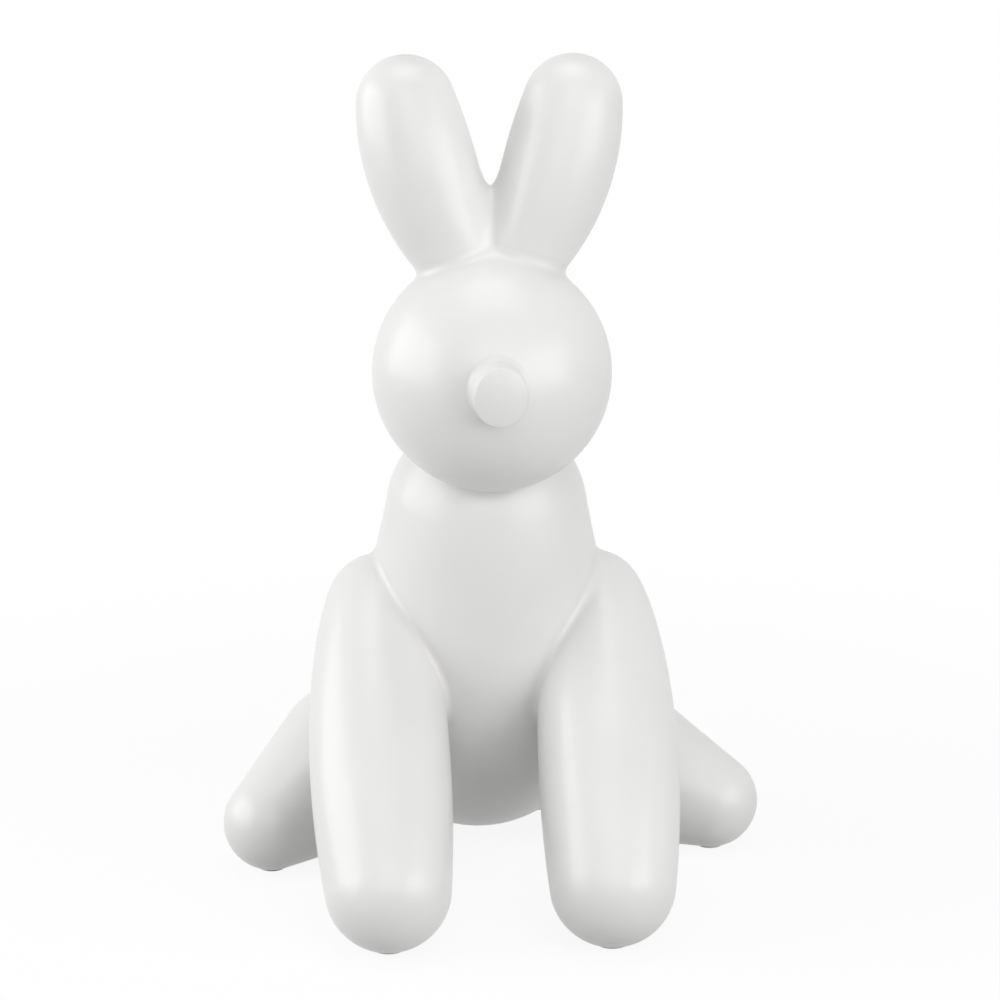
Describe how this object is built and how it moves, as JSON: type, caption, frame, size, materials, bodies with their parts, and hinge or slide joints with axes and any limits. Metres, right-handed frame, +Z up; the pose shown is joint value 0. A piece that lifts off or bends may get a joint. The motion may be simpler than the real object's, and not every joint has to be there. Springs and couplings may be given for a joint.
{
  "type": "balloon animal ornament",
  "caption": "Sitting twisted-balloon animal ornament in gloss white, with a round head, stub nose, long upright ears and lobe-shaped legs, which stands on felt pads.",
  "frame": {"origin": "middle of the footprint's box, on the surface that the ornament stands on", "axes": "+Z up, the animal faces -Y, so its left side is +X"},
  "size_m": [0.1942, 0.2074, 0.2957],
  "materials": {
    "lacquered_resin": "gloss",
    "pin_steel": "satin",
    "pad_felt": "matte",
    "plug_rubber": "matte"
  },
  "bodies": {
    "root": {"torso": "lacquered_resin", "head": "lacquered_resin", "nose": "lacquered_resin", "tail": "lacquered_resin", "ear_left": "lacquered_resin", "ear_right": "lacquered_resin", "front_leg_left": "lacquered_resin", "front_leg_right": "lacquered_resin", "hind_leg_left": "lacquered_resin", "hind_leg_right": "lacquered_resin", "ear_pin_left": "pin_steel", "ear_pin_right": "pin_steel", "front_leg_pin_left": "pin_steel", "front_leg_pin_right": "pin_steel", "hind_leg_pin_left": "pin_steel", "hind_leg_pin_right": "pin_steel", "nose_pin": "pin_steel", "tail_pin": "pin_steel", "neck_tube": "pin_steel", "foot_pad_front_left": "pad_felt", "foot_pad_front_right": "pad_felt", "foot_pad_hind_left": "pad_felt", "foot_pad_hind_right": "pad_felt", "rump_pad": "pad_felt", "vent_plug": "plug_rubber"}
  },
  "joints": []
}
